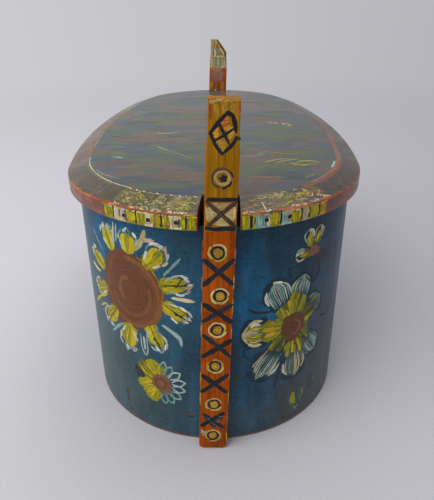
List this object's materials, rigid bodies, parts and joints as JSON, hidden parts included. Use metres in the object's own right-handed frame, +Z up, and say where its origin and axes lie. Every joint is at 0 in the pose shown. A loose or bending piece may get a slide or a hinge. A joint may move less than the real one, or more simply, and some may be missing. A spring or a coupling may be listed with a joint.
{
  "type": "bentwood tine box",
  "caption": "Oval bentwood box whose board lid is clamped between two upright spring posts, painted with folk flowers.",
  "frame": {"origin": "on the floor under the middle of the box, where the bottom board and the side band stand", "axes": "+Y along the box's length from the near post to the far post, +X to the right seen from the near post, +Z up"},
  "size_m": [0.186, 0.339, 0.207],
  "materials": {
    "band_blue": "blue oil paint, worn, satin",
    "bare_pine": "bare planed pine, aged",
    "birch_root": "split root, darkened",
    "peg_wood": "whittled hardwood, painted over outside",
    "post_ochre": "ochre and rust oil paint with dark strokes",
    "post_rust": "rust and cream oil paint",
    "lid_paint": "grey blue oil paint, varnished, with a brown border"
  },
  "bodies": {
    "box": {"bottom_board": "bare_pine", "side_band": "band_blue", "near_lap_root": "birch_root", "far_lap_root": "birch_root", "bottom_pegs": "peg_wood", "near_post_pegs": "peg_wood", "far_post_pegs": "peg_wood"},
    "lid": {"lid_board": "lid_paint"},
    "near_post": {"near_post": "post_ochre"},
    "far_post": {"far_post": "post_rust"}
  },
  "joints": [
    {"name": "lid_lift", "type": "slide", "parent": "box", "child": "lid", "axis": [0, 0, 1], "range_m": [0, 0.08]},
    {"name": "near_post_spring", "type": "hinge", "parent": "box", "child": "near_post", "pos_m": [-0.0022, -0.1659, 0.0065], "axis": [1, 0, 0], "range_deg": [0, 3.5], "stiffness_Nm_per_rad": 8},
    {"name": "far_post_spring", "type": "hinge", "parent": "box", "child": "far_post", "pos_m": [-0.002, 0.1659, 0.0065], "axis": [-1, 0, 0], "range_deg": [0, 3.5], "stiffness_Nm_per_rad": 8}
  ],
  "couplings": [
    {"joint": "near_post_spring", "follows": "lid_lift", "rad_per_m": 0.763},
    {"joint": "far_post_spring", "follows": "lid_lift", "rad_per_m": 0.763}
  ]
}
